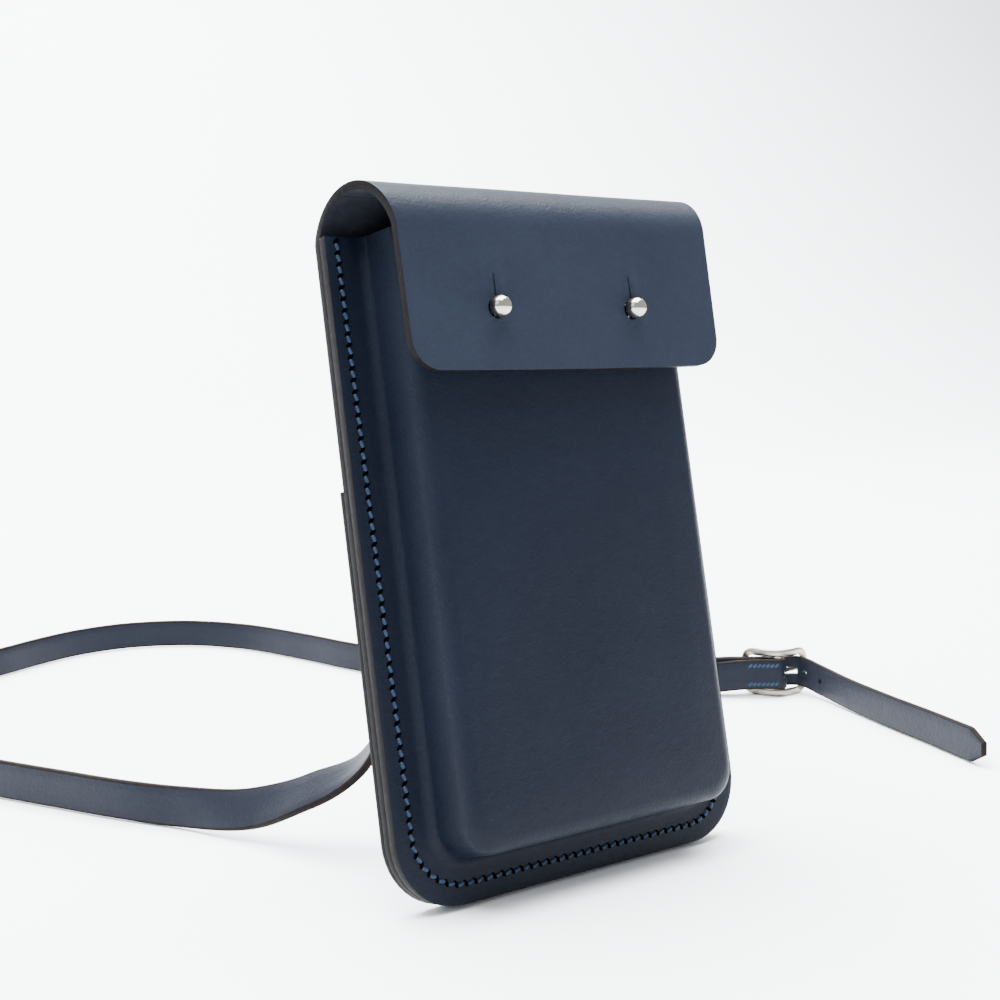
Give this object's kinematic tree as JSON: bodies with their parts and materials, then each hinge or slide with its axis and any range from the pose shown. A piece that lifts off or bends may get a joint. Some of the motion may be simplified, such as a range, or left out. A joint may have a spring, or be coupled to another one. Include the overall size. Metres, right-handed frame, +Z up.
{
  "type": "phone wallet case",
  "caption": "Upright moulded leather phone case with a curled flap held by ball studs, a rear card pocket and a buckled shoulder strap.",
  "frame": {"origin": "on the floor, below the middle of the case's own box, strap left out", "axes": "+X to the right seen from the flap side, +Y to the rear, +Z up; the flap and studs face -Y and the case leans back 10.7 degrees"},
  "size_m": [0.3397, 0.407, 0.1838],
  "materials": {
    "case_leather": "smooth navy black, soft sheen",
    "strap_leather": "smooth navy black, dark brown edges",
    "blue_thread": "waxed thread",
    "nickel": "polished nickel"
  },
  "bodies": {
    "case": {"back_panel": "case_leather", "front_shell": "case_leather", "card_pocket": "case_leather", "back_loop": "case_leather", "shoulder_strap": "strap_leather", "seam_thread_front": "blue_thread", "seam_thread_rear": "blue_thread", "fold_stitch_upper": "blue_thread", "fold_stitch_lower": "blue_thread", "stud_head_left": "nickel", "stud_head_right": "nickel", "stud_screw_left": "nickel", "stud_screw_right": "nickel", "loop_rivet_lower": "nickel", "loop_rivet_upper": "nickel"},
    "curl": {"flap_curl": "case_leather"},
    "flap": {"flap_front": "case_leather"},
    "buckle": {"buckle_frame": "nickel", "buckle_bar": "nickel"},
    "prong": {"buckle_prong": "nickel"}
  },
  "joints": [
    {"name": "flap_curl_fold", "type": "hinge", "parent": "case", "child": "curl", "pos_m": [0, 0.02278, 0.17595], "axis": [1, 0, 0], "range_deg": [-60, 0]},
    {"name": "flap_front_fold", "type": "hinge", "parent": "curl", "child": "flap", "pos_m": [0, 0.00505, 0.18265], "axis": [1, 0, 0], "range_deg": [-114, 0]},
    {"name": "buckle_swing", "type": "hinge", "parent": "case", "child": "buckle", "pos_m": [0.2035, 0.10656, 0.0094], "axis": [0, 0, 1], "range_deg": [-2, 3]},
    {"name": "prong_swing", "type": "hinge", "parent": "buckle", "child": "prong", "pos_m": [0.2035, 0.10656, 0.0094], "axis": [0, 0, 1], "range_deg": [0, 15]}
  ],
  "couplings": [
    {"joint": "flap_front_fold", "follows": "flap_curl_fold", "ratio": 1.9}
  ]
}
